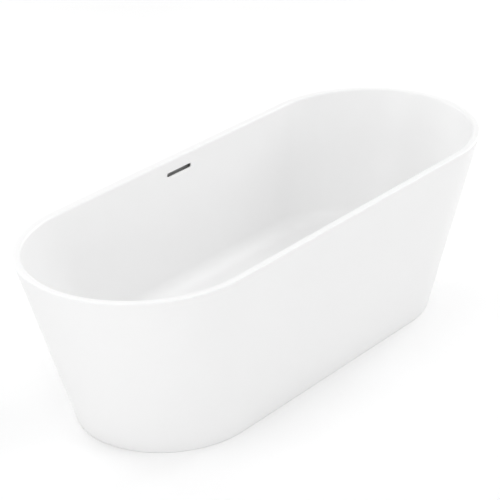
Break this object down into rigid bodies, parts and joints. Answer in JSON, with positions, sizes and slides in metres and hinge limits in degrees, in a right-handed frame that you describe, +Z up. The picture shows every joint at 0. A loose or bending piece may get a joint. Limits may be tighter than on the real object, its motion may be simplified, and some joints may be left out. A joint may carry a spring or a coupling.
{
  "type": "freestanding bathtub",
  "caption": "Freestanding oval double-skin bath with a thin flat rim, slot overflow, pop-up waste and a steel frame on levelling feet.",
  "frame": {"origin": "on the floor, under the middle of the bath", "axes": "+Z up, +X along the bath, +Y towards the long wall with the overflow slot"},
  "size_m": [1.7966, 0.6838, 0.545],
  "materials": {
    "white_acrylic": "satin white sanitary acrylic",
    "glass_fibre": "sprayed glass-fibre resin, rough",
    "plywood": "raw plywood, plies showing at the edge",
    "galvanised_steel": "dull galvanised",
    "zinc_plated_steel": "bright zinc plate",
    "black_plastic": "moulded, fine grain",
    "black_rubber": "matt",
    "chrome": "polished chrome plate",
    "brass": "turned brass",
    "white_plastic": "moulded off-white plastic",
    "grey_plastic": "moulded mid-grey plastic",
    "grey_hose": "flexible grey hose"
  },
  "bodies": {
    "bath": {"base_board": "plywood", "basin_backing": "glass_fibre", "board_screws": "zinc_plated_steel", "body_gasket": "black_rubber", "bracket_bolts": "zinc_plated_steel", "click_cartridge": "white_plastic", "cross_tube_1": "galvanised_steel", "cross_tube_2": "galvanised_steel", "cross_tube_3": "galvanised_steel", "cross_tube_4": "galvanised_steel", "flange_seal": "black_rubber", "foot_lock_nuts": "zinc_plated_steel", "foot_weld_nuts": "zinc_plated_steel", "hose_clamp_lower": "zinc_plated_steel", "hose_clamp_upper": "zinc_plated_steel", "inner_basin": "white_acrylic", "outer_skirt": "white_acrylic", "outlet_nut": "white_plastic", "outlet_seal": "black_rubber", "overflow_duct": "grey_plastic", "overflow_gasket": "black_rubber", "overflow_hose": "grey_hose", "rail_back": "galvanised_steel", "rail_end_caps": "black_plastic", "rail_front": "galvanised_steel", "skirt_bracket_1": "galvanised_steel", "skirt_bracket_2": "galvanised_steel", "skirt_bracket_3": "galvanised_steel", "skirt_bracket_4": "galvanised_steel", "waste_body": "white_plastic", "waste_flange": "chrome"},
    "foot_1": {"foot_pad_1": "black_plastic", "foot_sole_1": "black_rubber"},
    "stud_1": {"foot_stud_1": "zinc_plated_steel"},
    "foot_2": {"foot_pad_2": "black_plastic", "foot_sole_2": "black_rubber"},
    "stud_2": {"foot_stud_2": "zinc_plated_steel"},
    "foot_3": {"foot_pad_3": "black_plastic", "foot_sole_3": "black_rubber"},
    "stud_3": {"foot_stud_3": "zinc_plated_steel"},
    "foot_4": {"foot_pad_4": "black_plastic", "foot_sole_4": "black_rubber"},
    "stud_4": {"foot_stud_4": "zinc_plated_steel"},
    "foot_5": {"foot_pad_5": "black_plastic", "foot_sole_5": "black_rubber"},
    "stud_5": {"foot_stud_5": "zinc_plated_steel"},
    "foot_6": {"foot_pad_6": "black_plastic", "foot_sole_6": "black_rubber"},
    "stud_6": {"foot_stud_6": "zinc_plated_steel"},
    "plug": {"plug_cap": "chrome", "plug_seal": "black_rubber", "plug_stem": "brass"}
  },
  "joints": [
    {"name": "foot_1_height", "type": "slide", "parent": "bath", "child": "foot_1", "axis": [0, 0, -1], "range_m": [0, 0.015]},
    {"name": "stud_1_turn", "type": "hinge", "parent": "foot_1", "child": "stud_1", "pos_m": [-0.49, -0.15, 0], "axis": [0, 0, -1], "range_deg": [-3, 3090]},
    {"name": "foot_2_height", "type": "slide", "parent": "bath", "child": "foot_2", "axis": [0, 0, -1], "range_m": [0, 0.015]},
    {"name": "stud_2_turn", "type": "hinge", "parent": "foot_2", "child": "stud_2", "pos_m": [-0.11, -0.15, 0], "axis": [0, 0, -1], "range_deg": [-3, 3090]},
    {"name": "foot_3_height", "type": "slide", "parent": "bath", "child": "foot_3", "axis": [0, 0, -1], "range_m": [0, 0.015]},
    {"name": "stud_3_turn", "type": "hinge", "parent": "foot_3", "child": "stud_3", "pos_m": [0.49, -0.15, 0], "axis": [0, 0, -1], "range_deg": [-3, 3090]},
    {"name": "foot_4_height", "type": "slide", "parent": "bath", "child": "foot_4", "axis": [0, 0, -1], "range_m": [0, 0.015]},
    {"name": "stud_4_turn", "type": "hinge", "parent": "foot_4", "child": "stud_4", "pos_m": [-0.49, 0.15, 0], "axis": [0, 0, -1], "range_deg": [-3, 3090]},
    {"name": "foot_5_height", "type": "slide", "parent": "bath", "child": "foot_5", "axis": [0, 0, -1], "range_m": [0, 0.015]},
    {"name": "stud_5_turn", "type": "hinge", "parent": "foot_5", "child": "stud_5", "pos_m": [0.11, 0.15, 0], "axis": [0, 0, -1], "range_deg": [-3, 3090]},
    {"name": "foot_6_height", "type": "slide", "parent": "bath", "child": "foot_6", "axis": [0, 0, -1], "range_m": [0, 0.015]},
    {"name": "stud_6_turn", "type": "hinge", "parent": "foot_6", "child": "stud_6", "pos_m": [0.49, 0.15, 0], "axis": [0, 0, -1], "range_deg": [-3, 3090]},
    {"name": "plug_lift", "type": "slide", "parent": "bath", "child": "plug", "axis": [0, 0, 1], "range_m": [0, 0.008]}
  ],
  "couplings": [
    {"joint": "stud_1_turn", "follows": "foot_1_height", "rad_per_m": 3590.4},
    {"joint": "stud_2_turn", "follows": "foot_2_height", "rad_per_m": 3590.4},
    {"joint": "stud_3_turn", "follows": "foot_3_height", "rad_per_m": 3590.4},
    {"joint": "stud_4_turn", "follows": "foot_4_height", "rad_per_m": 3590.4},
    {"joint": "stud_5_turn", "follows": "foot_5_height", "rad_per_m": 3590.4},
    {"joint": "stud_6_turn", "follows": "foot_6_height", "rad_per_m": 3590.4}
  ]
}
